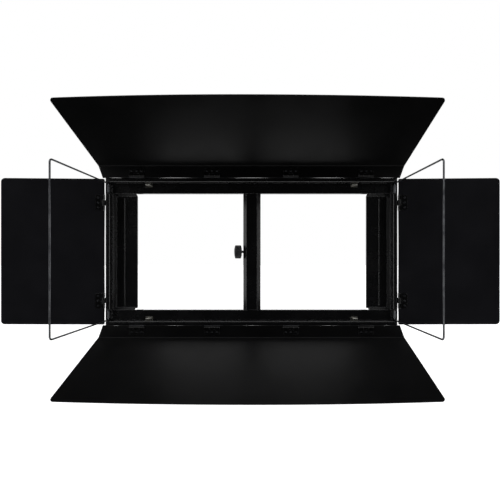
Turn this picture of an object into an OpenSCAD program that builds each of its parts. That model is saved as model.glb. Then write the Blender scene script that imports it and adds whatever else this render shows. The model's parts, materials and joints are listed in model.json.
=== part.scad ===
// Barn door attachment for a soft stage light: a frame with two windows, four hinged leaves
// and two wire bails that fold in to keep a colour gel in the front recess.
// +X is to the right and +Z is up. The leaves open towards -Y. The origin is the centre of the
// rear plane, where the frame meets the lamp head.

/* [Frame] */
// Outside width of the frame
frame_w = 664; // [600:1:760]
// Outside height of the frame
frame_h = 336; // [300:1:400]
// Depth from the front rim to the rear plane
frame_d = 44; // [42:1:70]
// Width of the rolled front rim
rim_w = 10; // [9:0.5:11]
// Radius of the rolled edges of the rim
rim_r = 2.5; // [2:0.25:3]
// Thickness of the frame's sheet
sheet = 1.5; // [1:0.1:1.8]
// Depth of the front recess that takes a gel
recess_d = 12; // [11:0.5:14]
// Width of the flange behind the recess, at the top and the bottom
flange_w = 24; // [20:1:40]
// Width of the narrow flange behind the recess, at the sides
side_flange_w = 2; // [2:0.5:5]
// Width of the flange turned in at the rear
rear_flange_w = 16; // [10:1:20]
// Depth of the lip turned back above and below each window
lip_d = 8; // [4:1:10]
// Depth of the hem on a side plate's edge at the window
hem_d = 2; // [1:0.5:4]
// Width of each recessed side plate
side_plate_w = 53; // [40:1:70]
// Depth of the side plate's floor behind the flange
side_plate_d = 10; // [6:0.5:12]
// Width of the sloped border of a side plate
border_w = 5; // [3:0.5:8]

/* [Centre bar] */
// Width of the centre bar
bar_w = 40.2; // [36:0.2:60]
// Width of its flat front face
bar_face_w = 24.6; // [16:0.2:30]
// Depth of its sloped long edges
bar_slope_d = 9; // [6:0.5:9]
// Thickness of its sheet
bar_sheet = 2; // [1.5:0.1:3]

/* [Leaves] */
// Thickness of a leaf's sheet
leaf_t = 1.5; // [1:0.1:1.8]
// Distance from the frame's outer wall to a hinge axis
hinge_out = 4; // [4:0.1:6]
// Distance of the top and bottom hinge axes forward of the rim
hinge_forward = 3.5; // [3.5:0.1:5]
// Distance from the hinge axis to the crease of the top and bottom leaves
crease_d = 22.2; // [20:0.1:40]
// Length of the main panel beyond the crease, at its corners
panel_l = 180; // [120:1:220]
// How far the outer edge of that panel is bowed
bow = 7.5; // [0:0.1:10]
// Bend at the crease
crease_angle = 65; // [30:1:70]
// Half width of the top and bottom leaves at the hinge edge
leaf_hinge_half = 335.5; // [330:0.5:345]
// Half width at the crease
leaf_crease_half = 345.5; // [340:0.5:360]
// Half width at the outer edge
leaf_outer_half = 355; // [350:1:380]
// Width of the side leaves, from the hinge axis
side_leaf_w = 198; // [140:0.5:240]
// Half height of the side leaves at the hinge edge
side_hinge_half = 165.5; // [150:0.5:165.5]
// Half height of the side leaves at the outer edge
side_outer_half = 154.5; // [130:0.5:160]
// How far the side leaves stand forward of the frame plane
side_tilt = 15.7; // [5:0.1:20]
// Radius of the leaves' free corners
leaf_corner_r = 8; // [4:1:20]

/* [Hinges] */
// Length of a hinge along its pin
hinge_l = 34; // [30:1:40]
// Outer radius of a knuckle
knuckle_r = 3.5; // [3.2:0.1:3.5]
// Radius of a hinge pin
pin_r = 2; // [1.5:0.1:2.2]
// Length of the middle knuckle
mid_knuckle_l = 12; // [10:1:14]
// Thickness of a hinge plate
plate_t = 1.2; // [0.8:0.1:1.2]
// How far a hinge plate reaches from the axis
plate_reach = 16.5; // [14:0.5:20]
// Outer pair of hinges on the top and bottom leaves, from the middle
hinge_x_outer = 259; // [200:1:290]
// Inner pair of hinges on the top and bottom leaves, from the middle
hinge_x_inner = 89; // [60:1:140]
// Hinges on the side leaves, from the middle
hinge_z = 111; // [60:1:125]
// Radius of a rivet's head
rivet_r = 2.3; // [1.8:0.1:2.6]

/* [Bails] */
// Radius of the bail wire
wire_r = 1.6; // [1.2:0.1:1.6]
// Distance from a bail's pivot to its crossbar
bail_l = 194; // [150:1:200]
// How far the arms lean out from straight forward
bail_lean = 3.3; // [0:0.1:4]
// Distance from the frame's outer wall to the pivot
bail_in = 6; // [5.7:0.1:6.3]
// Depth of the pivot behind the front of the rim
bail_depth = 3; // [3:0.1:3.5]
// Distance from an arm's middle line to the inner wall of the rim
arm_in = 2.5; // [2.4:0.1:3]
// Outer radius of a pivot barrel
barrel_r = 2.5; // [2.3:0.1:2.5]
// Length of a pivot barrel
barrel_l = 17; // [12:1:20]
// Distance of the spring clips from the middle
clip_x = 236; // [180:1:250]

/* [Clamp] */
// Radius of the knob
knob_r = 15.8; // [12:0.1:15.8]
// Thickness of the knob
knob_t = 17; // [10:0.5:20]
// Space between the knob and the centre bar
knob_gap = 4; // [4:0.5:8]
// Radius of the clamping screw
screw_r = 3; // [2.5:0.5:4]
// Height of the screw's axis above the rear plane
screw_y = 16; // [16:0.1:16.2]

/* [Hidden] */
$fn = 48;
eps = 0.01;
running = 0.05;
half_w = frame_w / 2;
half_h = frame_h / 2;
front_y = -frame_d;
flange_y = front_y + recess_d;
flange_back_y = flange_y + sheet;
recess_half_w = half_w - rim_w;
recess_half_h = half_h - rim_w;
window_half_h = recess_half_h - flange_w;
plate_out = recess_half_w - side_flange_w;
window_half_w = plate_out - side_plate_w;
inner_wall_x = recess_half_w - sheet;
bar_half = bar_w / 2;
bar_end = window_half_h + 8;
top_axis = half_h + hinge_out;
side_axis = half_w + hinge_out;
top_edge = -5.7;
side_edge = -2.9;
notch_l = hinge_l + 2;
notch_d = knuckle_r + 0.7;
bail_x = half_w - bail_in;
bail_y = front_y + bail_depth;
arm_z = recess_half_h - arm_in;
bail_bend_r = 4;
corner_bend_r = 6;
wire_end_z = arm_z - bail_bend_r;
barrel_top = wire_end_z - 0.4;
knob_x = -bar_half - knob_gap;
pad_x = -7;
pad_t = 3;
nut_t = 4;
black = [0.06, 0.06, 0.065];
steel = [0.55, 0.56, 0.58];
spring_steel = [0.72, 0.72, 0.70];
rubber = [0.12, 0.12, 0.12];

sides = ["left", "right"];
ends = ["top", "bottom"];
end_hinge_x = [-hinge_x_outer, -hinge_x_inner, hinge_x_inner, hinge_x_outer];
side_hinge_x = [-hinge_z, hinge_z];

function hinge_rows(name) = name == "top" || name == "bottom" ? end_hinge_x : side_hinge_x;
all_leaves = concat(ends, sides);

// Points of a round corner of radius r at b, between the neighbours a and c
function unit(v) = v / norm(v);
function fillet(a, b, c, r, n = 8) =
  let (
    u = unit(a - b),
    w = unit(c - b),
    half = acos(u * w) / 2,
    m = b + unit(u + w) * (r / sin(half)),
    p0 = b + u * (r / tan(half)) - m,
    p1 = b + w * (r / tan(half)) - m,
    a0 = atan2(p0[1], p0[0]),
    sweep = (atan2(p1[1], p1[0]) - a0 + 900) % 360 - 180
  )
  [for (i = [0:n]) m + r * [cos(a0 + sweep * i / n), sin(a0 + sweep * i / n)]];

// Places children made for the right or the top side on the named side
module on_side(name) {
  if (name == "left" || name == "bottom") mirror(name == "left" ? [1, 0, 0] : [0, 0, 1]) children();
  else children();
}

// A hinge frame: X runs along the pin, Z away from the frame and -Y to the front
module at_hinge_axis(name) {
  if (name == "top") translate([0, front_y - hinge_forward, top_axis]) children();
  if (name == "bottom") mirror([0, 0, 1]) translate([0, front_y - hinge_forward, top_axis]) children();
  if (name == "right") translate([side_axis, front_y, 0]) rotate([0, 90, 0]) children();
  if (name == "left") mirror([1, 0, 0]) translate([side_axis, front_y, 0]) rotate([0, 90, 0]) children();
}

// The same frame, turned with the leaf
module on_leaf(name) {
  tilt = name == "left" || name == "right" ? side_tilt : 0;
  at_hinge_axis(name) rotate([tilt, 0, 0]) children();
}

// Section of a rail: x is the distance in from the outer wall, y the distance back from the front
module rail_section(flange) {
  wall_d = recess_d + sheet;
  difference() {
    union() {
      translate([rim_r, 0]) square([rim_w - 2 * rim_r, wall_d]);
      translate([0, rim_r]) square([rim_w, wall_d - rim_r]);
      translate([rim_r, rim_r]) circle(rim_r);
      translate([rim_w - rim_r, rim_r]) circle(rim_r);
    }
    translate([sheet, rim_r]) square([rim_w - 2 * sheet, wall_d]);
    translate([rim_r, sheet]) square([rim_w - 2 * rim_r, wall_d]);
    translate([rim_r, rim_r]) circle(rim_r - sheet);
    translate([rim_w - rim_r, rim_r]) circle(rim_r - sheet);
  }
  translate([0, rim_r]) square([sheet, frame_d - rim_r]);
  translate([0, frame_d - sheet]) square([rear_flange_w, sheet]);
  translate([rim_w - sheet, recess_d]) square([flange + sheet, sheet]);
}

// Cuts a rail to the given outline in the plane of the frame
module cut_to(outline) {
  intersection() {
    children();
    translate([0, 1, 0]) rotate([90, 0, 0]) linear_extrude(frame_d + 2) polygon(outline);
  }
}

module end_rail(name) {
  outline = [
    [half_w, half_h],
    [recess_half_w, recess_half_h],
    [inner_wall_x, recess_half_h],
    [inner_wall_x, 0],
    [-inner_wall_x, 0],
    [-inner_wall_x, recess_half_h],
    [-recess_half_w, recess_half_h],
    [-half_w, half_h]
  ];
  color(black) on_side(name) {
    cut_to(outline)
      translate([0, front_y, half_h]) rotate([0, 90, 0])
        linear_extrude(frame_w, center = true) rail_section(flange_w);
    for (s = [-1, 1])
      translate([s * (window_half_w + bar_half) / 2, flange_y + lip_d / 2, window_half_h + sheet / 2])
        cube([window_half_w - bar_half - 1, lip_d, sheet], center = true);
  }
}

module side_rail(name) {
  outline = [
    [half_w, -half_h],
    [half_w, half_h],
    [recess_half_w, recess_half_h],
    [inner_wall_x, recess_half_h],
    [inner_wall_x, window_half_h],
    [window_half_w, window_half_h],
    [window_half_w, -window_half_h],
    [inner_wall_x, -window_half_h],
    [inner_wall_x, -recess_half_h],
    [recess_half_w, -recess_half_h]
  ];
  notch_in = recess_half_w - 3;
  notch_out = half_w - sheet;
  notch_low = barrel_top - barrel_l - 3;
  color(black) on_side(name) difference() {
    cut_to(outline)
      translate([half_w, front_y, 0]) mirror([1, 0, 0])
        linear_extrude(frame_h, center = true) rail_section(side_flange_w);
    for (s = [0, 1]) mirror([0, 0, s])
      translate([notch_in, front_y - 1, notch_low])
        cube([notch_out - notch_in, bail_depth + 5, recess_half_h - notch_low + eps]);
  }
}

// A tapered block from depth y0 to y1 that the side plate's tray is cut from; grow makes it larger
module tray_solid(grow, y0, y1) {
  hull() {
    translate([window_half_w, y0, 0]) tray_slab(plate_out + grow, window_half_h + grow);
    translate([window_half_w, y1, 0]) tray_slab(plate_out - border_w + grow, window_half_h - border_w + grow);
  }
}

// A thin slab of that block
module tray_slab(out_x, half_z) {
  translate([0, 0, -half_z]) cube([out_x - window_half_w, eps, 2 * half_z]);
}

module side_plate(name) {
  floor_y = flange_y + side_plate_d;
  bead_x = window_half_w + 30;
  color(black) on_side(name) {
    difference() {
      union() {
        translate([window_half_w, flange_back_y, -bar_end])
          cube([plate_out + 2.5 - window_half_w, sheet, 2 * bar_end]);
        tray_solid(sheet, flange_back_y, floor_y + sheet);
      }
      tray_solid(0, flange_back_y - eps, floor_y);
      translate([window_half_w - 1, flange_back_y - 1, -window_half_h])
        cube([border_w, floor_y - flange_back_y + 1, 2 * window_half_h - 2 * border_w]);
    }
    translate([window_half_w, floor_y + sheet, border_w - window_half_h])
      cube([sheet, hem_d, 2 * (window_half_h - border_w)]);
    translate([bead_x, floor_y, 0]) cylinder(h = 2 * (window_half_h - 9), r = 0.9, center = true);
  }
}

module centre_bar() {
  face = bar_face_w / 2;
  slope_y = flange_back_y + bar_slope_d;
  inner = bar_half - bar_sheet;
  face_in = face - bar_sheet * 0.35;
  color(black) difference() {
    linear_extrude(2 * bar_end, center = true) difference() {
      polygon([
        [-bar_half, 0], [-bar_half, slope_y], [-face, flange_back_y],
        [face, flange_back_y], [bar_half, slope_y], [bar_half, 0]
      ]);
      polygon([
        [-inner, 1], [-inner, slope_y + 1], [-face_in, flange_back_y + bar_sheet],
        [face_in, flange_back_y + bar_sheet], [inner, slope_y + 1], [inner, 1]
      ]);
    }
    translate([-bar_half, -screw_y, 0]) rotate([0, 90, 0]) cylinder(h = 3 * bar_sheet, r = screw_r + 0.5, center = true);
  }
}

module nut_plate() {
  nut_half_z = 25;
  in_front = 4.3;
  behind = 11;
  color(steel) translate([bar_sheet - bar_half, -screw_y, 0]) difference() {
    translate([0, -in_front, -nut_half_z]) cube([nut_t, in_front + behind, 2 * nut_half_z]);
    rotate([0, 90, 0]) cylinder(h = 3 * nut_t, r = screw_r + running, center = true);
  }
}

// A spring clip on the flange: a base, a seat and two jaws that a folded bail arm drops between
module spring_clip(end_name, side_name) {
  seat_y = bail_y + wire_r + 0.2;
  jaw_y = bail_y - wire_r;
  wall_gap = 0.1;
  outer_t = 0.6;
  low = recess_half_h - 9.5;
  jaw_z = arm_z - wire_r - 1.5;
  top = recess_half_h - wall_gap;
  color(spring_steel) on_side(end_name) on_side(side_name) {
    translate([clip_x - 8, flange_y - 0.8, low]) cube([16, 0.8, top - low]);
    translate([clip_x - 6, jaw_y, jaw_z]) cube([12, flange_y - jaw_y, 1]);
    translate([clip_x - 6, jaw_y, top - outer_t]) cube([12, flange_y - jaw_y, outer_t]);
    translate([clip_x - 6, seat_y, jaw_z]) cube([12, 0.8, top - jaw_z]);
  }
}

// A barrel that a bail's end turns in, on a block that sits inside the side rim
module bail_barrel(end_name, side_name) {
  block_in = recess_half_w + sheet;
  block_out = half_w - sheet;
  color(steel) on_side(end_name) on_side(side_name) difference() {
    union() {
      translate([bail_x, bail_y, barrel_top - barrel_l]) cylinder(h = barrel_l, r = barrel_r);
      translate([block_in, bail_y, barrel_top - barrel_l])
        cube([block_out - block_in, recess_d - bail_depth - 1, barrel_l]);
    }
    translate([bail_x, bail_y, barrel_top - barrel_l - 1]) cylinder(h = barrel_l + 2, r = wire_r + running);
  }
}

module knuckle(x0, x1, bore_r) {
  translate([x0, 0, 0]) rotate([0, 90, 0]) difference() {
    cylinder(h = x1 - x0, r = knuckle_r);
    translate([0, 0, -1]) cylinder(h = x1 - x0 + 2, r = bore_r);
  }
}

// The half that is riveted to the frame's outer wall
module frame_half(name, x) {
  wall_z = -hinge_out;
  mid = mid_knuckle_l / 2;
  plate_y = knuckle_r + 0.5;
  color(black) at_hinge_axis(name) translate([x, 0, 0]) {
    knuckle(-mid, mid, pin_r + running);
    difference() {
      translate([-mid, 0, wall_z]) cube([mid_knuckle_l, plate_y + 1, plate_t]);
      rotate([0, 90, 0]) cylinder(h = hinge_l, r = pin_r + running, center = true);
    }
    translate([-hinge_l / 2, plate_y, wall_z]) cube([hinge_l, plate_reach + 2, plate_t]);
  }
}

// The half that is riveted to the front of the leaf
module leaf_half(name, x) {
  mid = mid_knuckle_l / 2 + 0.5;
  far = hinge_l / 2;
  plate_y = -leaf_t / 2 - plate_t;
  corner = 3;
  color(black) on_leaf(name) translate([x, 0, 0]) {
    for (s = [0, 1]) mirror([s, 0, 0]) {
      knuckle(mid, far, pin_r);
      difference() {
        translate([mid, plate_y, 0]) cube([far - mid, plate_t, notch_d + 1]);
        rotate([0, 90, 0]) cylinder(h = hinge_l, r = pin_r, center = true);
      }
    }
    translate([0, plate_y + plate_t, 0]) rotate([90, 0, 0]) linear_extrude(plate_t) {
      translate([-far, notch_d]) square([hinge_l, plate_reach - notch_d - corner]);
      translate([-far + corner, notch_d]) square([hinge_l - 2 * corner, plate_reach - notch_d]);
      for (s = [-1, 1]) translate([s * (far - corner), plate_reach - corner]) circle(corner);
    }
  }
}

module hinge_pins(name) {
  color(steel) on_leaf(name)
    for (x = hinge_rows(name)) translate([x, 0, 0]) rotate([0, 90, 0])
      cylinder(h = hinge_l + 1, r = pin_r, center = true);
}

// A domed rivet head that stands on the plane z = 0
module rivet_head() {
  dome_r = rivet_r * 1.5;
  sink = sqrt(dome_r * dome_r - rivet_r * rivet_r);
  intersection() {
    translate([0, 0, -sink]) sphere(dome_r);
    cylinder(h = dome_r, r = rivet_r + 1);
  }
}

module leaf_rivets(name) {
  row = 10.5;
  color(steel) on_leaf(name)
    for (x = hinge_rows(name)) for (dx = [-11, 0, 11]) translate([x + dx, 0, row]) {
      translate([0, -leaf_t / 2 - plate_t, 0]) rotate([90, 0, 0]) rivet_head();
      translate([0, leaf_t / 2, 0]) rotate([-90, 0, 0]) rivet_head();
    }
}

module frame_rivets() {
  row = 14;
  color(steel) for (name = all_leaves) at_hinge_axis(name)
    for (x = hinge_rows(name)) for (dx = [-11, 0, 11])
      translate([x + dx, row, plate_t - hinge_out]) rivet_head();
}

// The top and bottom leaves: a strip in the plane of the frame and a panel bent to the front
module end_leaf(name) {
  bow_n = 24;
  bowed = [for (i = [1:bow_n - 1]) let (t = 1 - 2 * i / bow_n)
    [t * leaf_outer_half, panel_l + bow * (1 - t * t)]];
  right_corner = fillet([leaf_crease_half, 0], [leaf_outer_half, panel_l], bowed[0], leaf_corner_r);
  left_corner = [for (i = [len(right_corner) - 1:-1:0]) [-right_corner[i][0], right_corner[i][1]]];
  panel = concat([[-leaf_crease_half, 0], [leaf_crease_half, 0]], right_corner, bowed, left_corner);
  strip = [
    [-leaf_hinge_half, top_edge], [leaf_hinge_half, top_edge],
    [leaf_crease_half, crease_d], [-leaf_crease_half, crease_d]
  ];
  color(black) on_leaf(name) {
    difference() {
      leaf_sheet() polygon(strip);
      for (x = end_hinge_x) hinge_notch(x);
    }
    translate([0, 0, crease_d]) rotate([0, 90, 0])
      cylinder(h = 2 * leaf_crease_half - 1, r = leaf_t / 2 - 0.03, center = true);
    translate([0, 0, crease_d]) rotate([crease_angle, 0, 0]) leaf_sheet() polygon(panel);
  }
}

// Sheet of the leaf's thickness, centred on the plane through the hinge axis
module leaf_sheet() {
  translate([0, leaf_t / 2, 0]) rotate([90, 0, 0]) linear_extrude(leaf_t) children();
}

// Room for the knuckles in a leaf's hinge edge
module hinge_notch(x) {
  translate([x - notch_l / 2, -leaf_t, top_edge - 1]) cube([notch_l, 2 * leaf_t, notch_d - top_edge + 1]);
}

module side_leaf(name) {
  low = [side_hinge_half, side_edge];
  far = [side_outer_half, side_leaf_w];
  hinge_corner = fillet([0, side_edge], low, far, 3);
  free_corner = fillet(low, far, [0, side_leaf_w], leaf_corner_r);
  half = concat(hinge_corner, free_corner);
  other = [for (i = [len(half) - 1:-1:0]) [-half[i][0], half[i][1]]];
  color(black) on_leaf(name) difference() {
    leaf_sheet() polygon(concat(half, other));
    for (x = side_hinge_x) hinge_notch(x);
  }
}

// A quarter bend of wire about the origin, from +Y to +Z
module wire_bend(r) {
  rotate([90, 0, 90]) rotate_extrude(angle = 90) translate([r, 0]) circle(wire_r);
}

module bail(name) {
  arm_end = bail_l - corner_bend_r;
  cross_half = arm_z - corner_bend_r;
  tail = barrel_l - 1.5;
  color(steel) on_side(name) translate([bail_x, bail_y, 0]) rotate([0, 0, bail_lean]) {
    for (s = [0, 1]) mirror([0, 0, s]) {
      translate([0, 0, wire_end_z - tail]) cylinder(h = tail, r = wire_r);
      translate([0, -bail_bend_r, wire_end_z]) wire_bend(bail_bend_r);
      translate([0, -bail_bend_r, arm_z]) rotate([90, 0, 0]) cylinder(h = arm_end - bail_bend_r, r = wire_r);
      translate([0, -arm_end, cross_half]) mirror([0, 1, 0]) wire_bend(corner_bend_r);
    }
    translate([0, -bail_l, 0]) cylinder(h = 2 * cross_half, r = wire_r, center = true);
  }
}

module clamp_knob() {
  flutes = 10;
  flute_r = 3.4;
  edge = 1.6;
  color(black) translate([knob_x, -screw_y, 0]) rotate([0, -90, 0]) difference() {
    rotate_extrude() polygon([
      [0, 0], [knob_r - edge, 0], [knob_r, edge],
      [knob_r, knob_t - edge], [knob_r - edge, knob_t], [0, knob_t]
    ]);
    for (i = [0:flutes - 1]) rotate([0, 0, 360 * i / flutes])
      translate([knob_r + 1.6, 0, -1]) cylinder(h = knob_t + 2, r = flute_r);
    translate([0, 0, -1]) cylinder(h = knob_t * 0.6 + 1, r = screw_r);
  }
}

module clamp_screw() {
  tip_l = 3.5;
  start = knob_x - knob_t * 0.6;
  shoulder = pad_x - 2;
  color(steel) translate([0, -screw_y, 0]) rotate([0, 90, 0]) {
    translate([0, 0, start]) cylinder(h = shoulder - start, r = screw_r);
    translate([0, 0, shoulder]) cylinder(h = tip_l, r = screw_r - 1);
  }
}

module clamp_pad() {
  pad_r = 6.5;
  color(rubber) translate([pad_x, -screw_y, 0]) rotate([0, 90, 0]) difference() {
    cylinder(h = pad_t, r = pad_r);
    translate([0, 0, -1]) cylinder(h = 2.6, r = screw_r - 1 + running);
  }
}

for (e = ends) end_rail(e);
for (s = sides) side_rail(s);
for (s = sides) side_plate(s);
centre_bar();
nut_plate();
frame_rivets();
for (e = ends) for (s = sides) spring_clip(e, s);
for (e = ends) for (s = sides) bail_barrel(e, s);
for (n = all_leaves) for (i = [1:len(hinge_rows(n))]) {
  frame_half(n, hinge_rows(n)[i - 1]);
  leaf_half(n, hinge_rows(n)[i - 1]);
}
for (e = ends) end_leaf(e);
for (s = sides) side_leaf(s);
for (n = all_leaves) hinge_pins(n);
for (n = all_leaves) leaf_rivets(n);
for (s = sides) bail(s);
clamp_knob();
clamp_screw();
clamp_pad();
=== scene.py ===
"""Looks of a barn door attachment for a soft stage light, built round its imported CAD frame.

Every place comes from the frame. The formed sheet pieces, the wire bails, the hinges, the spring
clips, the knob and the screw are made here as meshes; the rest are the frame's own nodes, dressed
in their finish. Lengths are in metres. X is to the right, Z is up and the leaves open towards -Y.
"""

from __future__ import annotations

import json
import logging
import math
from dataclasses import dataclass, field
from enum import Enum
from typing import Any, Callable, Iterable

import bmesh
import bpy
from mathutils import Matrix, Vector


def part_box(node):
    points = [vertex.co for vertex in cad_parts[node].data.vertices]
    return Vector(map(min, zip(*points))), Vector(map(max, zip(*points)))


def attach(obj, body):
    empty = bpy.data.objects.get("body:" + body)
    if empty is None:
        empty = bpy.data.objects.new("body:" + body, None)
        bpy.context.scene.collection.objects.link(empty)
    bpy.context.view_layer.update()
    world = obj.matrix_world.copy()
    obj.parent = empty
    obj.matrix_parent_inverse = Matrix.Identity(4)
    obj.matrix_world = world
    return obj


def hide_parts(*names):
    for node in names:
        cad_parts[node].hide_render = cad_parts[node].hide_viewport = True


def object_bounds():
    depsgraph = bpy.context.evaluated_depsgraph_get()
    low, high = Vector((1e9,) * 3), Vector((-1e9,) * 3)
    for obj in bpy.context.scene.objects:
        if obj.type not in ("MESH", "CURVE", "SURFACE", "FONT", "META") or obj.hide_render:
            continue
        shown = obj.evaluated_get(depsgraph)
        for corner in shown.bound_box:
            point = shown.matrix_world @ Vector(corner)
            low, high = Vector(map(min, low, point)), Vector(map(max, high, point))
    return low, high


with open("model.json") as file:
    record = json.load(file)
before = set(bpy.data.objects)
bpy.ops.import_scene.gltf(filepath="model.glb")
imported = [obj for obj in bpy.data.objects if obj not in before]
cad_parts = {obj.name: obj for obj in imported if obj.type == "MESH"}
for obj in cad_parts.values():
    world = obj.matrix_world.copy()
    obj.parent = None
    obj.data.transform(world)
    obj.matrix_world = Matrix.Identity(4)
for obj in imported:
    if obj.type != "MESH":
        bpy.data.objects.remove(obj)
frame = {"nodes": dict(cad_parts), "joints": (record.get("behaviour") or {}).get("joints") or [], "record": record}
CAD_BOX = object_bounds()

LOG = logging.getLogger("barn_door")
MM = 0.001
# How far the side leaves stand forward of the frame's plane at rest
SIDE_TILT = math.radians(15.7)
NODES: dict[str, bpy.types.Object] = frame["nodes"]
JOINTS: dict[str, dict[str, Any]] = {joint["name"]: joint for joint in frame["joints"]}

Point = tuple[float, float]


class Side(Enum):
    """The four sides of the frame, by the names of their leaves."""

    TOP = "top"
    BOTTOM = "bottom"
    LEFT = "left"
    RIGHT = "right"

    @property
    def upright(self) -> bool:
        """Whether the hinge axis on this side stands upright."""
        return self in (Side.LEFT, Side.RIGHT)


# ---------------------------------------------------------------------------------------------
# Colour and nodes
# ---------------------------------------------------------------------------------------------


def linear(code: str, alpha: float = 1.0) -> tuple[float, float, float, float]:
    """Turns an sRGB hex colour to linear light.

    Args:
        code: The colour, such as "1a1a1c".
        alpha: Its alpha.

    Returns:
        Linear red, green, blue and alpha.
    """
    parts = [int(code[i:i + 2], 16) / 255 for i in (0, 2, 4)]
    red, green, blue = (
        part / 12.92 if part <= 0.04045 else ((part + 0.055) / 1.055) ** 2.4 for part in parts
    )
    return red, green, blue, alpha


def add_node(
    tree: bpy.types.NodeTree, kind: str, inputs: dict[str | int, Any] | None = None, **settings: Any
) -> bpy.types.Node:
    """Adds one shader node.

    Args:
        tree: The tree that it goes in.
        kind: Its type, such as "ShaderNodeBump".
        inputs: Values, or sockets to link from, by the name or number of the input.
        settings: Attributes of the node.

    Returns:
        The new node.
    """
    made = tree.nodes.new(kind)
    for name, value in settings.items():
        setattr(made, name, value)
    for key, value in (inputs or {}).items():
        socket = made.inputs[key]
        if isinstance(value, bpy.types.NodeSocket):
            tree.links.new(value, socket)
        else:
            socket.default_value = value
    return made


def new_material(name: str) -> tuple[bpy.types.Material, bpy.types.NodeTree]:
    """Makes an empty material.

    Args:
        name: Its name.

    Returns:
        The material and its tree, with only an output in it.
    """
    material = bpy.data.materials.new(name)
    material.use_nodes = True
    tree = material.node_tree
    tree.nodes.clear()
    return material, tree


# ---------------------------------------------------------------------------------------------
# Finishes
# ---------------------------------------------------------------------------------------------


@dataclass(frozen=True)
class PowderCoat:
    """Satin black powder coat on sheet steel: sprayed as powder and baked.

    The powder flows out to a fine orange peel, so the gloss is soft and broad. Handling leaves
    faint rubbed patches. Sharp edges get a lighter grey, part thin film and part painted highlight.
    """

    name: str = "satin_black_powder_coat"
    film: str = "060607"
    film_pale: str = "0d0d0e"
    # Lighter grey for rounded edges: part thin film, part painted highlight
    edge: str = "4a4b4e"
    roughness: float = 0.40
    roughness_spread: float = 0.08
    specular_level: float = 0.24
    # The peel's cells are about 0.8 mm across. They are drawn at 2.4 mm so that they show.
    peel_m: float = 2.4 * MM
    peel_height_m: float = 0.025 * MM
    patch_m: float = 70 * MM
    # Rubbed marks run along the sheet, about 60 mm long and 2 mm wide
    mark_length_m: float = 60 * MM
    mark_width_m: float = 2 * MM
    edge_radius_m: float = 0.9 * MM

    def build(self) -> bpy.types.Material:
        """Makes the material."""
        material, tree = new_material(self.name)
        place = add_node(tree, "ShaderNodeTexCoord").outputs["Object"]
        peel = add_node(
            tree, "ShaderNodeTexNoise",
            {"Vector": place, "Scale": 1 / self.peel_m, "Detail": 2.0, "Roughness": 0.55},
        ).outputs["Fac"]
        patch = add_node(
            tree, "ShaderNodeTexNoise",
            {"Vector": place, "Scale": 1 / self.patch_m, "Detail": 3.0, "Roughness": 0.6},
        ).outputs["Fac"]
        stretch = (1 / self.mark_length_m, 1 / self.mark_width_m, 1 / self.mark_width_m)
        along = add_node(tree, "ShaderNodeMapping", {"Vector": place, "Scale": stretch}).outputs[0]
        mark = add_node(
            tree, "ShaderNodeTexNoise", {"Vector": along, "Scale": 1.0, "Detail": 4.0}
        ).outputs["Fac"]
        rubbed = add_node(
            tree, "ShaderNodeMapRange",
            {"Value": mark, "From Min": 0.60, "From Max": 0.78, "To Min": 0.0, "To Max": 1.0},
        ).outputs["Result"]
        round_normal = add_node(
            tree, "ShaderNodeBevel", {"Radius": self.edge_radius_m}, samples=4
        ).outputs["Normal"]
        flat_normal = add_node(tree, "ShaderNodeNewGeometry").outputs["Normal"]
        turn = add_node(
            tree, "ShaderNodeVectorMath", {0: round_normal, 1: flat_normal}, operation="DOT_PRODUCT"
        ).outputs["Value"]
        # Mask of the rounded edges that get the lighter grey: part thin film, part painted highlight
        edge_film_and_highlight = add_node(
            tree, "ShaderNodeMapRange",
            {"Value": turn, "From Min": 0.97, "From Max": 0.75, "To Min": 0.0, "To Max": 0.8},
        ).outputs["Result"]
        tone = add_node(
            tree, "ShaderNodeMix",
            {"Factor": patch, 6: linear(self.film), 7: linear(self.film_pale)}, data_type="RGBA",
        ).outputs[2]
        colour = add_node(
            tree, "ShaderNodeMix", {"Factor": edge_film_and_highlight, 6: tone, 7: linear(self.edge)}, data_type="RGBA"
        ).outputs[2]
        gloss = add_node(
            tree, "ShaderNodeMapRange",
            {
                "Value": patch, "From Min": 0.3, "From Max": 0.7,
                "To Min": self.roughness - self.roughness_spread / 2,
                "To Max": self.roughness + self.roughness_spread / 2,
            },
        ).outputs["Result"]
        worn = add_node(
            tree, "ShaderNodeMath", {0: rubbed, 1: -self.roughness_spread, 2: gloss},
            operation="MULTIPLY_ADD",
        ).outputs["Value"]
        bump = add_node(
            tree, "ShaderNodeBump",
            {
                "Height": peel, "Strength": 0.6, "Distance": self.peel_height_m,
                "Normal": round_normal,
            },
        ).outputs["Normal"]
        skin = add_node(
            tree, "ShaderNodeBsdfPrincipled",
            {
                "Base Color": colour, "Roughness": worn, "Normal": bump, "IOR": 1.5,
                "Specular IOR Level": self.specular_level,
            },
        )
        add_node(tree, "ShaderNodeOutputMaterial", {"Surface": skin.outputs["BSDF"]})
        return material


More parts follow.
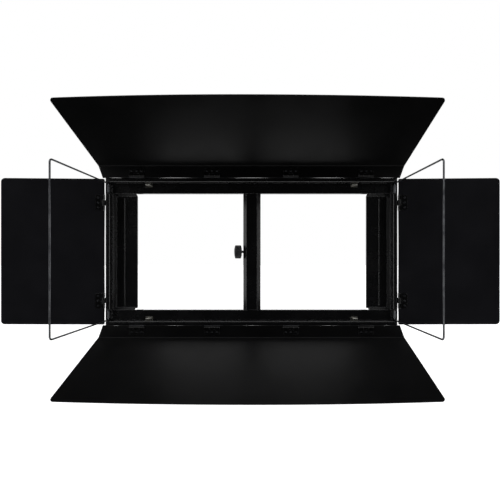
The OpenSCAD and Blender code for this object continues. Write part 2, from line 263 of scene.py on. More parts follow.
@dataclass(frozen=True)
class BareMetal:
    """Bare or lightly plated steel, drawn, rolled or turned.

    The tool leaves fine lines along one axis, which spread the highlight across them. Handling
    dulls it in soft patches.
    """

    name: str
    colour: str
    tarnish: str
    roughness: float
    # How long and how wide a tool line is
    line_m: tuple[float, float, float]
    line_height_m: float = 0.01 * MM
    patch_m: float = 18 * MM
    metallic: float = 1.0

    def build(self) -> bpy.types.Material:
        """Makes the material."""
        material, tree = new_material(self.name)
        place = add_node(tree, "ShaderNodeTexCoord").outputs["Object"]
        stretch = tuple(1 / length for length in self.line_m)
        along = add_node(tree, "ShaderNodeMapping", {"Vector": place, "Scale": stretch}).outputs[0]
        lines = add_node(
            tree, "ShaderNodeTexNoise", {"Vector": along, "Scale": 1.0, "Detail": 3.0}
        ).outputs["Fac"]
        patch = add_node(
            tree, "ShaderNodeTexNoise",
            {"Vector": place, "Scale": 1 / self.patch_m, "Detail": 4.0, "Roughness": 0.6},
        ).outputs["Fac"]
        dull = add_node(
            tree, "ShaderNodeMapRange",
            {"Value": patch, "From Min": 0.42, "From Max": 0.68, "To Min": 0.0, "To Max": 1.0},
        ).outputs["Result"]
        colour = add_node(
            tree, "ShaderNodeMix",
            {"Factor": dull, 6: linear(self.colour), 7: linear(self.tarnish)}, data_type="RGBA",
        ).outputs[2]
        gloss = add_node(
            tree, "ShaderNodeMapRange",
            {
                "Value": lines, "From Min": 0.3, "From Max": 0.7,
                "To Min": self.roughness - 0.06, "To Max": self.roughness + 0.08,
            },
        ).outputs["Result"]
        bump = add_node(
            tree, "ShaderNodeBump",
            {"Height": lines, "Strength": 0.5, "Distance": self.line_height_m},
        ).outputs["Normal"]
        skin = add_node(
            tree, "ShaderNodeBsdfPrincipled",
            {"Base Color": colour, "Roughness": gloss, "Normal": bump, "Metallic": self.metallic},
        )
        add_node(tree, "ShaderNodeOutputMaterial", {"Surface": skin.outputs["BSDF"]})
        return material


@dataclass(frozen=True)
class MouldedBlack:
    """Black phenolic or rubber from a mould, with a fine spark-eroded grain.

    The grain scatters the light, so it looks a soft charcoal, and it is shinier where fingers
    have rubbed it.
    """

    name: str
    colour: str
    rubbed: str
    roughness: float
    ior: float
    # The mould's grain is about 0.3 mm. It is drawn at 0.9 mm so that it shows.
    grain_m: float = 0.9 * MM
    grain_height_m: float = 0.03 * MM
    patch_m: float = 9 * MM

    def build(self) -> bpy.types.Material:
        """Makes the material."""
        material, tree = new_material(self.name)
        place = add_node(tree, "ShaderNodeTexCoord").outputs["Object"]
        grain = add_node(
            tree, "ShaderNodeTexVoronoi",
            {"Vector": place, "Scale": 1 / self.grain_m, "Randomness": 1.0}, feature="SMOOTH_F1",
        ).outputs["Distance"]
        patch = add_node(
            tree, "ShaderNodeTexNoise", {"Vector": place, "Scale": 1 / self.patch_m, "Detail": 3.0}
        ).outputs["Fac"]
        colour = add_node(
            tree, "ShaderNodeMix",
            {"Factor": patch, 6: linear(self.colour), 7: linear(self.rubbed)}, data_type="RGBA",
        ).outputs[2]
        gloss = add_node(
            tree, "ShaderNodeMapRange",
            {
                "Value": patch, "From Min": 0.35, "From Max": 0.65,
                "To Min": self.roughness + 0.06, "To Max": self.roughness - 0.08,
            },
        ).outputs["Result"]
        bump = add_node(
            tree, "ShaderNodeBump",
            {"Height": grain, "Strength": 0.4, "Distance": self.grain_height_m},
        ).outputs["Normal"]
        skin = add_node(
            tree, "ShaderNodeBsdfPrincipled",
            {"Base Color": colour, "Roughness": gloss, "Normal": bump, "IOR": self.ior},
        )
        add_node(tree, "ShaderNodeOutputMaterial", {"Surface": skin.outputs["BSDF"]})
        return material


@dataclass
class Finishes:
    """Every material, by the record's material slot."""

    leaf_paint: PowderCoat = PowderCoat()
    # The side leaves get a paler copy of the leaf coat: painted light for the front light they catch
    side_leaf_paint: PowderCoat = PowderCoat(
        name="black_powder_coat_painted_lit", film="151518", film_pale="1c1c20",
    )
    frame_paint: PowderCoat = PowderCoat(
        name="satin_black_powder_coat_frame", film="08080a", film_pale="0e0e10",
        roughness=0.26, specular_level=1.0, patch_m=45 * MM,
    )
    # Painted with the frame, but rubbed by every turn of the leaf
    hinge_steel: PowderCoat = PowderCoat(
        name="black_painted_hinge_steel", film="060607", film_pale="0e0e0f", edge="7a7b7e",
        roughness=0.32, specular_level=0.4, patch_m=12 * MM,
        mark_length_m=12 * MM, mark_width_m=0.8 * MM, edge_radius_m=0.5 * MM,
    )
    # Zinc plate gone grey, drawn through a die
    wire_steel: BareMetal = BareMetal(
        "dull_zinc_plated_wire", "7d7f82", "55565a", 0.34, (40 * MM, 40 * MM, 0.6 * MM)
    )
    # Cold-rolled strip, blanked and formed
    spring_steel: BareMetal = BareMetal(
        "bright_rolled_spring_steel", "b4b3ad", "8c8b86", 0.30, (12 * MM, 0.5 * MM, 0.5 * MM)
    )
    # Turned on a lathe
    pin_steel: BareMetal = BareMetal(
        "turned_mild_steel", "9b9c9e", "6c6c6c", 0.32, (0.4 * MM, 6 * MM, 6 * MM)
    )
    # Chemically blackened, worn on the dome
    rivet_steel: BareMetal = BareMetal(
        "blackened_rivet_steel", "2e2f31", "1a1a1b", 0.38, (3 * MM, 3 * MM, 0.5 * MM)
    )
    knob_plastic: MouldedBlack = MouldedBlack(
        "black_moulded_phenolic", "2c2c2d", "3c3c3e", 0.36, 1.54
    )
    pad_rubber: MouldedBlack = MouldedBlack("black_moulded_rubber", "141414", "222222", 0.68, 1.52)
    made: dict[str, bpy.types.Material] = field(default_factory=dict)

    def material(self, slot: str) -> bpy.types.Material:
        """Gives the material of one slot, made at its first use."""
        if slot not in self.made:
            self.made[slot] = getattr(self, slot).build()
        return self.made[slot]

    def dress(self, piece: bpy.types.Object, slot: str) -> None:
        """Replaces every material of a piece with the slot's own."""
        piece.data.materials.clear()
        piece.data.materials.append(self.material(slot))


# ---------------------------------------------------------------------------------------------
# Formed sheet
# ---------------------------------------------------------------------------------------------


def rounded_path(corners: list[Point], radii: list[float], steps: int = 6) -> list[Point]:
    """Rounds the corners of an open line.

    Args:
        corners: The line's points.
        radii: The bend radius at each inner point.
        steps: How many pieces each bend has.

    Returns:
        The points of the rounded line.
    """
    points = [corners[0]]
    for index, radius in enumerate(radii, start=1):
        before, here, after = (Vector(corners[index + k]) for k in (-1, 0, 1))
        to_before, to_after = (before - here).normalized(), (after - here).normalized()
        half = to_before.angle(to_after) / 2
        centre = here + (to_before + to_after).normalized() * radius / math.sin(half)
        start = here + to_before * radius / math.tan(half) - centre
        end = here + to_after * radius / math.tan(half) - centre
        sweep = start.angle(end)
        for step in range(steps + 1):
            t = step / steps
            arm = start * math.sin((1 - t) * sweep) + end * math.sin(t * sweep)
            points.append(tuple(centre + arm / math.sin(sweep)))
    points.append(corners[-1])
    return points


def arc(centre: Point, radius: float, start: float, end: float, steps: int) -> list[Point]:
    """Gives points along an arc.

    Args:
        centre: Its centre.
        radius: Its radius.
        start: The first angle, in degrees.
        end: The last angle, in degrees.
        steps: How many pieces it has.

    Returns:
        The points, with both ends.
    """
    angles = [math.radians(start + (end - start) * step / steps) for step in range(steps + 1)]
    return [(centre[0] + radius * math.cos(a), centre[1] + radius * math.sin(a)) for a in angles]


@dataclass
class BentPath:
    """A line in the (y, z) plane that a flat blank is bent along."""

    points: list[Point]

    def marks(self) -> list[float]:
        """Distances along the line to each of its points."""
        total, marks = 0.0, [0.0]
        for a, b in zip(self.points, self.points[1:]):
            total += math.dist(a, b)
            marks.append(total)
        return marks

    def at(self, distance: float) -> Point:
        """The point at a distance along the line; past its ends the line runs straight on."""
        marks = self.marks()
        index = 0
        while index < len(marks) - 2 and distance > marks[index + 1]:
            index += 1
        a, b = self.points[index], self.points[index + 1]
        t = (distance - marks[index]) / (marks[index + 1] - marks[index])
        return a[0] + (b[0] - a[0]) * t, a[1] + (b[1] - a[1]) * t


def settle(piece: bpy.types.Object) -> None:
    """Applies a piece's modifiers, then shades it smooth with flats kept flat."""
    graph = bpy.context.evaluated_depsgraph_get()
    shape = bpy.data.meshes.new_from_object(piece.evaluated_get(graph))
    piece.modifiers.clear()
    old = piece.data
    piece.data = shape
    bpy.data.meshes.remove(old)
    shape.name = piece.name
    shade(piece)


def shade(piece: bpy.types.Object, angle: float = 40.0) -> None:
    """Shades smooth across shallow edges, and weights the normals so that flats stay flat."""
    piece.data.shade_smooth()
    piece.data.set_sharp_from_angle(angle=math.radians(angle))
    weighted = piece.modifiers.new("flats stay flat", "WEIGHTED_NORMAL")
    weighted.keep_sharp = True


def as_object(name: str, mesh_data: bmesh.types.BMesh) -> bpy.types.Object:
    """Turns a bmesh into an object in the scene."""
    bmesh.ops.recalc_face_normals(mesh_data, faces=mesh_data.faces[:])
    shape = bpy.data.meshes.new(name)
    mesh_data.to_mesh(shape)
    mesh_data.free()
    piece = bpy.data.objects.new(name, shape)
    bpy.context.scene.collection.objects.link(piece)
    return piece


def place(piece: bpy.types.Object, matrix: Matrix) -> None:
    """Moves a piece's mesh into the row frame, and keeps its faces outward if that mirrors it."""
    piece.data.transform(matrix)
    if matrix.determinant() < 0:
        piece.data.flip_normals()


def formed_sheet(
    name: str, outline: list[Point], path: BentPath, thickness: float,
    cuts_x: Iterable[float] = (), edge: float = 0.3 * MM,
    press: Callable[[float, float], float] | None = None,
) -> bpy.types.Object:
    """Makes a piece as a press brake does: a flat blank, bent along a line.

    Args:
        name: The piece's name.
        outline: The blank's outline as (x, distance along the line).
        path: The line that it is bent along.
        thickness: The sheet's thickness, half on each side of the line.
        cuts_x: Where the blank is divided across, so that it can be pressed out of flat.
        edge: Radius of the sheet's deburred edges.
        press: How far the sheet stands out of flat, for an x and a distance along the line.

    Returns:
        The piece, around the line in its own frame.
    """
    blank = bmesh.new()
    blank.faces.new([blank.verts.new((x, s, 0)) for x, s in outline])
    bmesh.ops.triangulate(blank, faces=blank.faces[:])
    low, high = min(s for _, s in outline), max(s for _, s in outline)
    cuts = [((0, s, 0), (0, 1, 0)) for s in path.marks() if low < s < high]
    cuts += [((x, 0, 0), (1, 0, 0)) for x in cuts_x]
    for point, normal in cuts:
        everything = blank.verts[:] + blank.edges[:] + blank.faces[:]
        bmesh.ops.bisect_plane(blank, geom=everything, plane_co=point, plane_no=normal, dist=1e-6)
    bmesh.ops.dissolve_degenerate(blank, edges=blank.edges[:], dist=2e-6)
    step = 1e-5
    for vert in blank.verts:
        x, s = vert.co.x, vert.co.y
        y, z = path.at(s)
        if press:
            y2, z2 = path.at(s + step)
            out = press(x, s)
            y, z = y - (z2 - z) / step * out, z + (y2 - y) / step * out
        vert.co = (x, y, z)
    piece = as_object(name, blank)
    wall = piece.modifiers.new("thickness", "SOLIDIFY")
    wall.thickness, wall.offset = thickness, 0.0
    burr = piece.modifiers.new("deburred edges", "BEVEL")
    burr.width, burr.segments, burr.limit_method = edge, 2, "ANGLE"
    burr.angle_limit = math.radians(50)
    settle(piece)
    return piece


def fillet(before: Point, corner: Point, after: Point, radius: float) -> list[Point]:
    """Gives the points of a round corner."""
    return rounded_path([before, corner, after], [radius])[1:-1]


def mirrored(points: list[Point]) -> list[Point]:
    """Gives the same points on the other side of x = 0, in reverse order."""
    return [(-x, s) for x, s in reversed(points)]


# ---------------------------------------------------------------------------------------------
# Sub-assemblies
# ---------------------------------------------------------------------------------------------


@dataclass
class Workshop:
    """What every sub-assembly needs: the finishes, and how a piece is handed over."""

    finishes: Finishes

    def hand_over(self, piece: bpy.types.Object, body: str, slot: str, *nodes: str) -> None:
        """Dresses a piece, lets it ride on a body and hides the frame nodes that it stands for.

        Args:
            piece: The piece, in place.
            body: The body that it rides on.
            slot: The material slot of its finish.
            nodes: The frame nodes that it replaces.
        """
        self.finishes.dress(piece, slot)
        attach(piece, body)
        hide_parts(*nodes)
        LOG.info("%s rides on %s in %s", piece.name, body, slot)


def hinge_frame(side: Side) -> Matrix:
    """The frame of a leaf's hinge: X along the pin, Z away from the opening and -Y to the front.

    Args:
        side: Which leaf.

    Returns:
        The matrix from that frame to the row frame.
    """
    centre = Vector(JOINTS[f"{side.value}_leaf_hinge"]["pos_m"])
    flip = Matrix.Identity(4)
    if side is Side.BOTTOM:
        flip = Matrix.Diagonal((1, 1, -1, 1))
    if side is Side.RIGHT:
        flip = Matrix.Rotation(math.radians(90), 4, "Y")
    if side is Side.LEFT:
        flip = Matrix.Diagonal((-1, 1, 1, 1)) @ Matrix.Rotation(math.radians(90), 4, "Y")
    return Matrix.Translation(centre) @ flip


@dataclass
class Hinges:
    """The hinges of one leaf: curled knuckles round a pin, riveted to the wall and to the leaf."""

    side: Side
    shop: Workshop
    tilt: float
    length: float = 34 * MM
    mid_half: float = 6 * MM
    gap: float = 0.5 * MM
    sheet: float = 1.2 * MM
    curl_radius: float = 2.75 * MM
    reach: float = 16.5 * MM
    corner: float = 3 * MM
    wall_drop: float = 3.4 * MM
    leaf_rise: float = 1.35 * MM
    notch: float = 4.3 * MM
    wall_plate: float = 17.6 * MM

    def places(self) -> list[float]:
        """Where the hinges sit along the pin, read from the frame."""
        count = 2 if self.side.upright else 4
        axis = 2 if self.side.upright else 0
        found = []
        for index in range(1, count + 1):
            low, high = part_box(f"{self.side.value}_hinge_{index}_frame_half")
            found.append((low[axis] + high[axis]) / 2)
        return [-x for x in found] if self.side.upright else found

    def leaf_path(self) -> BentPath:
        """The leaf half's line: the plate, a joggle and the curl round the pin."""
        joggle = rounded_path(
            [(-self.leaf_rise, self.reach), (-self.leaf_rise, 5.6 * MM), (-self.curl_radius, 1.6 * MM)],
            [2 * MM], 4,
        )[:-1]
        return BentPath(joggle + arc((0, 0), self.curl_radius, 180, 425, 22))

    def frame_path(self) -> BentPath:
        """The frame half's line: the plate on the wall and the curl round the pin."""
        plate = rounded_path(
            [(22 * MM, -self.wall_drop), (4.6 * MM, -self.wall_drop), (0.6 * MM, -self.curl_radius)],
            [3 * MM], 4,
        )[:-1]
        return BentPath(plate + arc((0, 0), self.curl_radius, 270, 25, 22))

    def plate_outline(self, path: BentPath, plate_end: float, tongues: list[Point]) -> list[Point]:
        """The flat blank of a half: a plate with round far corners, and tongues to be curled.

        Args:
            path: The line that it will be bent along.
            plate_end: Distance along the line to the plate's straight edge.
            tongues: The (from, to) of each tongue along the pin, in order.

        Returns:
            The outline.
        """
        half, end = self.length / 2, path.marks()[-1]
        far = fillet((half, plate_end), (half, 0), (-half, 0), self.corner)
        near = fillet((half, 0), (-half, 0), (-half, plate_end), self.corner)
        outline = far + near + [(-half, plate_end)]
        for low, high in tongues:
            outline += [(low, plate_end), (low, end), (high, end), (high, plate_end)]
        outline.append((half, plate_end))
        clean = [outline[0]]
        for point in outline[1:]:
            if math.dist(point, clean[-1]) > 1e-6:
                clean.append(point)
        return clean

    def build(self) -> None:
        """Makes both halves of every hinge on this side."""
        name = self.side.value
        outer = self.mid_half + self.gap
        half = self.length / 2
        leaf_turn = Matrix.Rotation(self.tilt, 4, "X")
        for index, x in enumerate(self.places(), start=1):
            shift = Matrix.Translation((x, 0, 0))
            path = self.leaf_path()
            outline = self.plate_outline(path, self.reach - self.notch, [(-half, -outer), (outer, half)])
            piece = formed_sheet(f"{name}_hinge_{index}_leaf_plate", outline, path, self.sheet)
            place(piece, hinge_frame(self.side) @ leaf_turn @ shift)
            self.shop.hand_over(piece, f"{name}_leaf", "hinge_steel", f"{name}_hinge_{index}_leaf_half")
            path = self.frame_path()
            outline = self.plate_outline(path, self.wall_plate, [(-self.mid_half, self.mid_half)])
            piece = formed_sheet(f"{name}_hinge_{index}_wall_plate", outline, path, self.sheet)
            place(piece, hinge_frame(self.side) @ shift)
            self.shop.hand_over(piece, "frame", "hinge_steel", f"{name}_hinge_{index}_frame_half")


@dataclass
class Leaf:
    """One leaf: a sheet of steel whose outline is notched for the hinges.

    The finished mesh comes out with those notches filled, wholly or in part, so the knuckles pass
    through it.
    """

    side: Side
    shop: Workshop
    sheet: float = 1.5 * MM
    notch_half: float = 17.4 * MM
    notch_depth: float = 4.2 * MM
    hinge_sag: float = 0.8 * MM
    ripple: float = 0.35 * MM

    def inner_edge(self, half: float, edge: float, places: list[float]) -> list[Point]:
        """The hinge edge from -half to half, notched and a little hollow between the hinges.

        Args:
            half: Half the edge's length.
            edge: How far the edge is from the pin.
            places: Where the hinges sit.

        Returns:
            Points of the edge.
        """
        stops = [-half] + [x + s * self.notch_half for x in sorted(places) for s in (-1, 1)] + [half]
        line: list[Point] = []
        for index in range(0, len(stops), 2):
            a, b = stops[index], stops[index + 1]
            span = [a + (b - a) * k / 8 for k in range(9)]
            line += [(x, edge + self.hinge_sag * math.sin(math.pi * (x - a) / (b - a))) for x in span]
            if index + 2 < len(stops):
                line += [(b, self.notch_depth), (stops[index + 2], self.notch_depth)]
        return line

    def hand_over(self, piece: bpy.types.Object) -> None:
        """Puts the finished leaf on its body."""
        name = f"{self.side.value}_leaf"
        self.shop.hand_over(piece, name, "leaf_paint", name)
        if self.side.upright:
            # The paler side coat is painted light: the same paint, made paler for the front light on these leaves
            self.shop.finishes.dress(piece, "side_leaf_paint")


@dataclass
class EndLeaf(Leaf):
    """The top or bottom leaf: a strip in the frame's plane and a panel bent to the front."""

    hinge_half: float = 335.5 * MM
    crease_half: float = 345.5 * MM
    outer_half: float = 355 * MM
    edge: float = -5.7 * MM
    crease: float = 22.2 * MM
    panel: float = 180 * MM
    bow: float = 7.5 * MM
    bend: float = math.radians(65)
    bend_radius: float = 2.5 * MM
    corner: float = 8 * MM

    def path(self) -> BentPath:
        """The strip, the bend and the panel."""
        far = self.panel + self.bow
        end = (-far * math.sin(self.bend), self.crease + far * math.cos(self.bend))
        return BentPath(rounded_path([(0, self.edge), (0, self.crease), end], [self.bend_radius], 6))

    def build(self, places: list[float]) -> None:
        """Makes the leaf.

        Args:
            places: Where its hinges sit along the pin.
        """
        path = self.path()
        length = path.marks()[-1]
        crease_at, panel_at = self.crease - self.edge, length - self.bow
        bowed = [
            (t * self.outer_half, panel_at + self.bow * (1 - t * t))
            for t in (1 - 2 * k / 24 for k in range(1, 24))
        ]
        right = [(self.crease_half, crease_at)] + fillet(
            (self.crease_half, crease_at), (self.outer_half, panel_at), bowed[0], self.corner
        )
        edge = [(x, s - self.edge) for x, s in self.inner_edge(self.hinge_half, self.edge, places)]
        edge[0], edge[-1] = (-self.hinge_half, 0.0), (self.hinge_half, 0.0)
        outline = edge + right + bowed + mirrored(right)
        cuts = [self.outer_half * k / 10 for k in range(-9, 10)]
        piece = formed_sheet(
            f"{self.side.value}_leaf_sheet", outline, path, self.sheet, cuts, press=self.out_of_flat
        )
        place(piece, hinge_frame(self.side))
        self.hand_over(piece)

    def out_of_flat(self, x: float, s: float) -> float:
        """How far the panel is out of flat: it waves a little along its free edge."""
        lift = max(0.0, (s - self.crease - 10 * MM) / self.panel)
        wave = math.sin(x / (120 * MM) + (0.6 if self.side is Side.TOP else 2.1))
        return self.ripple * lift * wave


@dataclass
class SideLeaf(Leaf):
    """The left or right leaf: one flat panel that narrows to its free edge."""

    tilt: float = 0.0
    hinge_half: float = 165.5 * MM
    outer_half: float = 154.5 * MM
    edge: float = -2.9 * MM
    width: float = 198 * MM
    corner: float = 8 * MM
    inner_corner: float = 3 * MM
    hinge_sag: float = 0.5 * MM

    def build(self, places: list[float]) -> None:
        """Makes the leaf.

        Args:
            places: Where its hinges sit along the pin.
        """
        path = BentPath([(0, self.edge + (self.width - self.edge) * k / 6) for k in range(7)])
        length = path.marks()[-1]
        edge = [(x, s - self.edge) for x, s in self.inner_edge(self.hinge_half, self.edge, places)]
        far = (self.outer_half, length)
        start = fillet(edge[-2], (self.hinge_half, 0), far, self.inner_corner)
        right = start + fillet((self.hinge_half, 0), far, (0, length), self.corner)
        outline = edge[1:-1] + right + mirrored(right)
        cuts = [self.hinge_half * k / 5 for k in range(-4, 5)]
        piece = formed_sheet(
            f"{self.side.value}_leaf_sheet", outline, path, self.sheet, cuts, press=self.out_of_flat
        )
        place(piece, hinge_frame(self.side) @ Matrix.Rotation(self.tilt, 4, "X"))
        self.hand_over(piece)

    def out_of_flat(self, x: float, s: float) -> float:
        """How far the panel is out of flat: it is hollowed very slightly across."""
        return self.ripple * math.sin(math.pi * s / self.width) * math.cos(x / (90 * MM))


@dataclass
class Bail:
    """A wire bail: two arms and a crossbar bent from one length, with its ends in the barrels."""

    side: Side
    shop: Workshop
    wire: float = 1.6 * MM
    length: float = 194 * MM
    arm: float = 155.5 * MM
    lean: float = math.radians(3.3)
    tail: float = 19 * MM
    inner_bend: float = 4 * MM
    outer_bend: float = 6 * MM
    facets: int = 16

    def build(self) -> None:
        """Sweeps the wire along its line."""
        corners = [
            (0.0, self.arm - self.tail), (0.0, self.arm), (-self.length, self.arm),
            (-self.length, -self.arm), (0.0, -self.arm), (0.0, self.tail - self.arm),
        ]
        radii = [self.inner_bend, self.outer_bend, self.outer_bend, self.inner_bend]
        line = rounded_path(corners, radii, 8)
        tube = bmesh.new()
        rings = [self.ring(tube, line, index) for index in range(len(line))]
        for near, far in zip(rings, rings[1:]):
            for k in range(self.facets):
                after = (k + 1) % self.facets
                tube.faces.new((near[k], near[after], far[after], far[k]))
        for ring in (rings[0], rings[-1]):
            tube.faces.new(ring)
        name = f"{self.side.value}_bail"
        piece = as_object(f"{name}_wire", tube)
        shade(piece)
        pivot = Matrix.Translation(JOINTS[f"{name}_pivot"]["pos_m"])
        mirror = Matrix.Diagonal((-1, 1, 1, 1)) if self.side is Side.LEFT else Matrix.Identity(4)
        place(piece, pivot @ mirror @ Matrix.Rotation(self.lean, 4, "Z"))
        self.shop.hand_over(piece, name, "wire_steel", name)

    def ring(self, tube: bmesh.types.BMesh, line: list[Point], index: int) -> list[bmesh.types.BMVert]:
        """Adds the ring of points round one point of the line.

        Args:
            tube: The mesh being made.
            line: The wire's middle line in the (y, z) plane.
            index: Which point.

        Returns:
            The ring's points.
        """
        here = Vector(line[index])
        before = Vector(line[max(index - 1, 0)])
        after = Vector(line[min(index + 1, len(line) - 1)])
        run = (after - before).normalized()
        across = Vector((0, -run.y, run.x))
        centre = Vector((0, here.x, here.y))
        verts = []
        for k in range(self.facets):
            angle = 2 * math.pi * k / self.facets
            arm = Vector((1, 0, 0)) * math.cos(angle) + across * math.sin(angle)
            verts.append(tube.verts.new(centre + arm * self.wire))
        return verts


@dataclass
class SpringClip:
    """A clip for a folded bail: a base with one jaw, and a leg with the other jaw and the seat."""

    end: Side
    side: Side
    shop: Workshop
    sheet: float = 0.6 * MM
    base_width: float = 16 * MM
    jaw_width: float = 12 * MM
    leg_rise: float = 3.9 * MM
    seat_depth: float = 3.6 * MM

    def build(self) -> None:
        """Makes the clip from two formed strips."""
        node = f"{self.end.value}_{self.side.value}_clip"
        low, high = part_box(node)
        flip = -1 if self.end is Side.BOTTOM else 1
        top, bottom = max(flip * low[2], flip * high[2]), min(flip * low[2], flip * high[2])
        back, front = high[1], low[1]
        middle = (low[0] + high[0]) / 2
        half = self.sheet / 2
        base = BentPath(rounded_path(
            [(back - half, bottom), (back - half, top - half), (front + 0.6 * MM, top - half)],
            [0.9 * MM], 4,
        ))
        leg_z = bottom + self.leg_rise + half
        leg = BentPath(rounded_path(
            [
                (front, leg_z - 0.5 * MM), (front + 1.2 * MM, leg_z + 0.2 * MM),
                (front + self.seat_depth, leg_z), (back - 3 * half - 0.05 * MM, leg_z),
                (back - 3 * half - 0.05 * MM, bottom + 0.4 * MM),
            ],
            [0.8 * MM, 0.8 * MM, 0.8 * MM], 3,
        ))
        seat_y = front + self.seat_depth
        seat = BentPath([(seat_y, leg_z + half), (seat_y, top - 2 * half)])
        parts = [
            self.strip("base", base, self.base_width), self.strip("leg", leg, self.jaw_width),
            self.strip("seat", seat, self.jaw_width),
        ]
        joined = bmesh.new()
        for part in parts:
            joined.from_mesh(part.data)
            bpy.data.objects.remove(part)
        piece = as_object(f"{node}_strips", joined)
        shade(piece)
        place(piece, Matrix.Translation((middle, 0, 0)) @ Matrix.Diagonal((1, 1, flip, 1)))
        self.shop.hand_over(piece, "frame", "spring_steel", node)

    def strip(self, name: str, path: BentPath, width: float) -> bpy.types.Object:
        """Forms one strip with round corners at its ends."""
        end, half = path.marks()[-1], width / 2
        round_r = min(1.2 * MM, end / 3)
        right = fillet((0, 0), (half, 0), (half, end), round_r) + fillet(
            (half, 0), (half, end), (0, end), round_r
        )
        return formed_sheet(name, right + mirrored(right), path, self.sheet, edge=0.12 * MM)


@dataclass
class Clamp:
    """The thumbscrew of the centre bar: a fluted knob and a threaded screw."""

    shop: Workshop
    flutes: int = 10
    flute_depth: float = 1.5 * MM
    facets: int = 120
    pitch: float = 1.0 * MM
    thread_depth: float = 0.55 * MM

    def build(self) -> None:
        """Makes the knob and the screw."""
        self.knob()
        self.screw()

    def axis_frame(self, node: str) -> tuple[Matrix, float, float]:
        """Reads where a turned node lies.

        Args:
            node: The frame's node, which turns about X.

        Returns:
            The matrix from (radius, radius, along) to the row frame, its length and its radius.
        """
        low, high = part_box(node)
        pivot = JOINTS["knob_spin"]["pos_m"]
        spin = Matrix.Translation((low[0], pivot[1], pivot[2])) @ Matrix.Rotation(math.pi / 2, 4, "Y")
        return spin, high[0] - low[0], (high[1] - low[1]) / 2

    def turned(
        self, name: str, profile: list[Point], facets: int, radius_at: Callable[[Point, float], float]
    ) -> bpy.types.Object:
        """Makes a closed turned piece whose radius may change with the angle.

        Args:
            name: Its name.
            profile: Its (radius, along) points.
            facets: How many points a ring has.
            radius_at: The radius for a profile point and an angle.

        Returns:
            The piece, about its own Z.
        """
        made = bmesh.new()
        rings = []
        for point in profile:
            angles = [2 * math.pi * k / facets for k in range(facets)]
            radii = [radius_at(point, angle) for angle in angles]
            rings.append([
                made.verts.new((r * math.cos(a), r * math.sin(a), point[1]))
                for r, a in zip(radii, angles)
            ])
        for near, far in zip(rings, rings[1:]):
            for k in range(facets):
                after = (k + 1) % facets
                made.faces.new((near[k], near[after], far[after], far[k]))
        made.faces.new(rings[0])
        made.faces.new(rings[-1])
        return as_object(name, made)

    def knob(self) -> None:
        """Makes the knob: domed faces, round flutes and a raised boss on the bar's side."""
        spin, width, radius = self.axis_frame("clamp_knob")
        rim = 2.0 * MM
        outline = rounded_path(
            [
                (0.4 * MM, 0.9 * MM), (5 * MM, 0.9 * MM), (6 * MM, 0.0), (9 * MM, 0.0), (radius, rim),
                (radius, width - rim), (9 * MM, width - 0.2 * MM), (0.4 * MM, width - 0.2 * MM),
            ],
            [0.5 * MM, 0.5 * MM, 1.5 * MM, 1.6 * MM, 1.6 * MM, 1.5 * MM], 5,
        )

        def fluted(point: Point, angle: float) -> float:
            """The radius at an angle, cut back in each flute."""
            depth = max(0.0, (point[0] - 9 * MM) / (radius - 9 * MM))
            dip = max(0.0, math.cos(self.flutes * angle)) ** 1.5
            return point[0] - self.flute_depth * depth * dip

        piece = self.turned("clamp_knob_moulding", outline, self.facets, fluted)
        shade(piece, 60)
        place(piece, spin)
        self.shop.hand_over(piece, "clamp_knob", "knob_plastic", "clamp_knob")

    def screw(self) -> None:
        """Makes the screw: a rolled thread and a plain tip that turns in the pad."""
        spin, length, radius = self.axis_frame("clamp_screw")
        tip, tip_radius = 3.5 * MM, radius - 1 * MM
        count = round((length - tip) / self.pitch * 6)
        thread = [(radius, (length - tip) * k / count) for k in range(count + 1)]
        chamfer = 0.4 * MM
        tip_line = [
            (tip_radius, length - tip), (tip_radius, length - chamfer), (tip_radius - chamfer, length),
        ]

        def threaded(point: Point, angle: float) -> float:
            """The radius on the thread's crest, flank or root."""
            if point[0] < radius:
                return point[0]
            phase = (point[1] / self.pitch - angle / (2 * math.pi)) % 1.0
            return radius - self.thread_depth * abs(2 * phase - 1)

        piece = self.turned("clamp_screw_thread", thread + tip_line, 32, threaded)
        shade(piece, 60)
        place(piece, spin)
        self.shop.hand_over(piece, "clamp_knob", "pin_steel", "clamp_screw")


@dataclass
class FrameParts:
    """The frame nodes that keep their own shape, and get their finish."""

    shop: Workshop

    def build(self) -> None:
        """Dresses every node that nothing replaces."""
        slots = {part["node"]: part["material_slot"] for part in frame["record"]["subparts"]}
        for name, node in NODES.items():
            if not node.hide_render:
                self.shop.finishes.dress(node, slots[name])
                LOG.info("%s keeps its own shape in %s", name, slots[name])


# ---------------------------------------------------------------------------------------------
# Studio
# ---------------------------------------------------------------------------------------------


@dataclass
class SoftBox:
    """One soft area light, which the camera doesn't see."""

    name: str
    at: tuple[float, float, float]
    size: tuple[float, float]
    power: float
    aim: tuple[float, float, float] = (0.0, 0.0, 0.0)

    def build(self) -> None:
        """Hangs the light and points it."""
        lamp = bpy.data.lights.new(self.name, "AREA")
        lamp.shape, lamp.energy = "RECTANGLE", self.power
        lamp.size, lamp.size_y = self.size
        holder = bpy.data.objects.new(self.name, lamp)
        holder.visible_camera = False
        bpy.context.scene.collection.objects.link(holder)
        holder.location = self.at
        holder.rotation_euler = (Vector(self.aim) - Vector(self.at)).to_track_quat("-Z", "Y").to_euler()


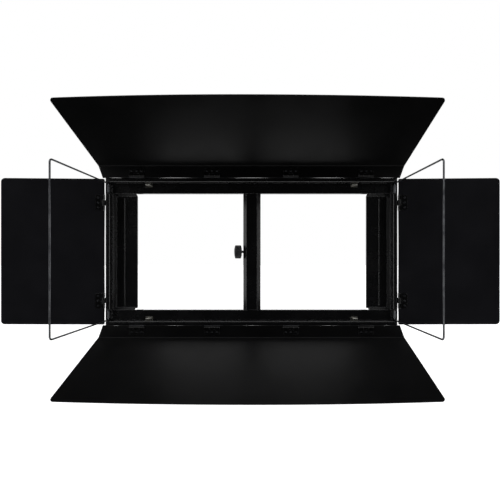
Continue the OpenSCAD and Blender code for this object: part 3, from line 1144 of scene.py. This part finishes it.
@dataclass
class Studio:
    """A pale floor, a surround that looks white, soft lights and the camera."""

    floor_drop: float = 330 * MM
    floor_size: float = 60.0
    panel_back: float = 15 * MM
    panel_power: float = 0.17
    # Strengths of the surround behind the object, in the ring and straight in front
    back_level: float = 0.13
    ring_level: float = 1.7
    front_level: float = 0.01
    # How far the ring is in front, as the -Y part of a direction, and where it starts to fade
    ring_depth: float = 0.5
    ring_core: float = 0.08
    ring_edge: float = 0.26
    distance: float = 774 * MM
    eye_x: float = 33 * MM
    eye_z: float = -16 * MM
    lens: float = 24.55
    shift: tuple[float, float] = (-0.032, 0.0174)

    def build(self) -> None:
        """Makes the floor, the surround, the lights and the camera."""
        self.floor()
        self.surround()
        SoftBox("top_back_softbox", (0.0, 1.1, 1.4), (1.2, 1.2), 0.5).build()
        for side in ("left", "right"):
            self.window_panel(side)
        self.camera()

    def window_panel(self, side: str) -> None:
        """Sets a soft panel behind a window, where the lamp head's own would be.

        Args:
            side: "left" or "right".
        """
        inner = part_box("centre_bar")[1][0]
        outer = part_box("right_side_plate")[0][0]
        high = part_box("top_rail")[0][2]
        middle = (inner + outer) / 2 * (-1 if side == "left" else 1)
        at = (middle, self.panel_back, 0.0)
        SoftBox(
            f"{side}_window_panel", at, (outer - inner, 2 * high), self.panel_power,
            (middle, -1.0, 0.0),
        ).build()

    def floor(self) -> None:
        """Lays a white floor well below the object, which neither lights it nor shows in it."""
        made = bmesh.new()
        half, low = self.floor_size / 2, CAD_BOX[0][2] - self.floor_drop
        corners = ((-1, -1), (1, -1), (1, 1), (-1, 1))
        made.faces.new([made.verts.new((x * half, y * half, low)) for x, y in corners])
        plane = as_object("studio_floor", made)
        material, tree = new_material("matt_white_floor_paint")
        spot = add_node(tree, "ShaderNodeTexCoord").outputs["Object"]
        cloud = add_node(
            tree, "ShaderNodeTexNoise", {"Vector": spot, "Scale": 6.0, "Detail": 2.0}
        ).outputs["Fac"]
        tone = add_node(
            tree, "ShaderNodeMix",
            {"Factor": cloud, 6: linear("f4f4f4"), 7: linear("fafafa")}, data_type="RGBA",
        ).outputs[2]
        skin = add_node(
            tree, "ShaderNodeBsdfPrincipled",
            {
                "Base Color": tone, "Roughness": 0.9, "Specular IOR Level": 0.1,
                "Emission Color": (1, 1, 1, 1), "Emission Strength": 1.0,
            },
        )
        add_node(tree, "ShaderNodeOutputMaterial", {"Surface": skin.outputs["BSDF"]})
        plane.data.materials.append(material)
        plane.visible_diffuse = plane.visible_glossy = False

    def surround(self) -> None:
        """Lights the object from behind and from a ring round its front; the camera sees it white."""
        world = bpy.data.worlds.new("studio_surround")
        bpy.context.scene.world = world
        world.use_nodes = True
        tree = world.node_tree
        tree.nodes.clear()
        towards = add_node(tree, "ShaderNodeTexCoord").outputs["Generated"]
        depth = add_node(tree, "ShaderNodeSeparateXYZ", {0: towards}).outputs["Y"]
        back = add_node(
            tree, "ShaderNodeMapRange",
            {
                "Value": depth, "From Min": 0.1, "From Max": 0.6,
                "To Min": 0.0, "To Max": self.back_level,
            },
            interpolation_type="SMOOTHSTEP",
        ).outputs["Result"]
        aside = add_node(
            tree, "ShaderNodeMath", {0: depth, 1: self.ring_depth}, operation="ADD"
        ).outputs[0]
        off_ring = add_node(tree, "ShaderNodeMath", {0: aside}, operation="ABSOLUTE").outputs[0]
        ring = add_node(
            tree, "ShaderNodeMapRange",
            {
                "Value": off_ring, "From Min": self.ring_core, "From Max": self.ring_edge,
                "To Min": self.ring_level, "To Max": self.front_level,
            },
            interpolation_type="SMOOTHSTEP",
        ).outputs["Result"]
        around = add_node(tree, "ShaderNodeMath", {0: back, 1: ring}, operation="MAXIMUM").outputs[0]
        seen = add_node(tree, "ShaderNodeLightPath").outputs["Is Camera Ray"]
        level = add_node(tree, "ShaderNodeMath", {0: around, 1: seen}, operation="MAXIMUM").outputs[0]
        sky = add_node(tree, "ShaderNodeBackground", {"Color": (1, 1, 1, 1), "Strength": level})
        add_node(tree, "ShaderNodeOutputWorld", {"Surface": sky.outputs[0]})

    def camera(self) -> None:
        """Sets the camera square to the frame, a little right of and below its middle."""
        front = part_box("top_rail")[0][1]
        lens = bpy.data.cameras.new("studio_camera")
        lens.lens, lens.sensor_width = self.lens, 36.0
        lens.shift_x, lens.shift_y = self.shift
        holder = bpy.data.objects.new("studio_camera", lens)
        bpy.context.scene.collection.objects.link(holder)
        holder.location = (self.eye_x, front - self.distance, self.eye_z)
        holder.rotation_euler = (math.pi / 2, 0, 0)
        bpy.context.scene.camera = holder


def main() -> None:
    """Builds the sub-assemblies in order, then the studio."""
    logging.basicConfig(level=logging.INFO, format="%(message)s")
    shop = Workshop(Finishes())
    for side in Side:
        hinges = Hinges(side, shop, SIDE_TILT if side.upright else 0.0)
        hinges.build()
        leaf = SideLeaf(side, shop, tilt=SIDE_TILT) if side.upright else EndLeaf(side, shop)
        leaf.build(hinges.places())
    for side in (Side.LEFT, Side.RIGHT):
        Bail(side, shop).build()
        for end in (Side.TOP, Side.BOTTOM):
            SpringClip(end, side, shop).build()
    Clamp(shop).build()
    FrameParts(shop).build()
    Studio().build()
    bpy.context.scene.view_settings.view_transform = "Standard"


if __name__ == "__main__":
    main()
